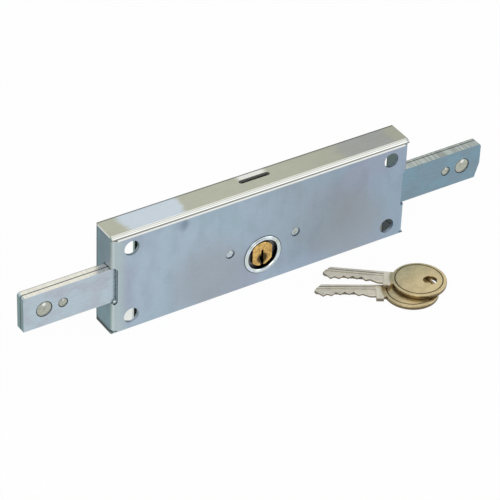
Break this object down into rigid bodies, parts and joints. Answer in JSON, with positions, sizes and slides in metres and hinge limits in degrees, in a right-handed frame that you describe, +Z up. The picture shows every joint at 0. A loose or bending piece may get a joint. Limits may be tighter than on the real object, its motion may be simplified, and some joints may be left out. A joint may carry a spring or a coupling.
{
  "type": "garage door lock",
  "caption": "Flat zinc-plated garage door lock whose key cylinder throws a bar bolt out of each end, with its keys lying in front.",
  "frame": {"origin": "centre of the four fixing holes, on the front face of the case", "axes": "+X along the case towards the right-hand bolt, +Y from the front face to the rear, +Z up"},
  "size_m": [0.241, 0.0809, 0.0524],
  "materials": {
    "case_zinc": "blue-passivated zinc plate",
    "plate_zinc": "zinc plate",
    "bolt_zinc": "zinc plate, sheared edges",
    "rivet_steel": "satin, ground flush",
    "turned_steel": "turned and zinc plated",
    "screw_zinc": "bright zinc plate",
    "collar_nickel": "nickel plate",
    "brass": "turned",
    "gear_steel": "sintered, oiled",
    "spring_steel": "spring wire",
    "key_nickel": "nickel plate with a warm tint"
  },
  "bodies": {
    "case": {"case_shell": "case_zinc", "collar": "collar_nickel", "guide_plate": "plate_zinc", "back_cover": "plate_zinc", "spacer_posts": "turned_steel", "guide_pins": "turned_steel", "pillars": "turned_steel", "flange_screws": "screw_zinc", "cover_screws": "screw_zinc", "idler_axle": "turned_steel", "cylinder_housing": "brass", "driver_pins": "brass", "pin_springs": "spring_steel", "chamber_stoppers": "brass"},
    "plug": {"cylinder_plug": "brass", "plug_gear": "gear_steel", "plug_clip": "spring_steel", "key_pins": "brass"},
    "idler": {"cluster_gear": "gear_steel"},
    "left_bolt": {"left_bolt_front_plate": "bolt_zinc", "left_bolt_rack_plate": "bolt_zinc", "left_bolt_hard_pin": "rivet_steel", "left_bolt_rivet": "rivet_steel", "left_bolt_inner_rivet": "rivet_steel"},
    "right_bolt": {"right_bolt_front_plate": "bolt_zinc", "right_bolt_rack_plate": "bolt_zinc", "right_bolt_hard_pin": "rivet_steel", "right_bolt_rivet": "rivet_steel", "right_bolt_inner_rivet": "rivet_steel"},
    "lower_key": {"key_lower": "key_nickel"},
    "upper_key": {"key_upper": "key_nickel"}
  },
  "joints": [
    {"name": "plug_turn", "type": "hinge", "parent": "case", "child": "plug", "pos_m": [0, 0.012, -0.0098], "axis": [0, -1, 0], "range_deg": [0, 360]},
    {"name": "idler_turn", "type": "hinge", "parent": "case", "child": "idler", "pos_m": [0, 0.0046, 0.011], "axis": [0, -1, 0], "range_deg": [-360, 0]},
    {"name": "left_bolt_slide", "type": "slide", "parent": "case", "child": "left_bolt", "axis": [1, 0, 0], "range_m": [0, 0.03016]},
    {"name": "right_bolt_slide", "type": "slide", "parent": "case", "child": "right_bolt", "axis": [-1, 0, 0], "range_m": [0, 0.03016]},
    {"name": "lower_key_lift", "type": "slide", "parent": "case", "child": "lower_key", "axis": [0, 0, 1], "range_m": [0, 0.03]},
    {"name": "upper_key_lift", "type": "slide", "parent": "lower_key", "child": "upper_key", "axis": [0, 0, 1], "range_m": [0, 0.03]}
  ],
  "couplings": [
    {"joint": "plug_turn", "follows": "left_bolt_slide", "rad_per_m": 208.33},
    {"joint": "idler_turn", "follows": "left_bolt_slide", "rad_per_m": -208.33},
    {"joint": "right_bolt_slide", "follows": "left_bolt_slide", "ratio": 1}
  ]
}
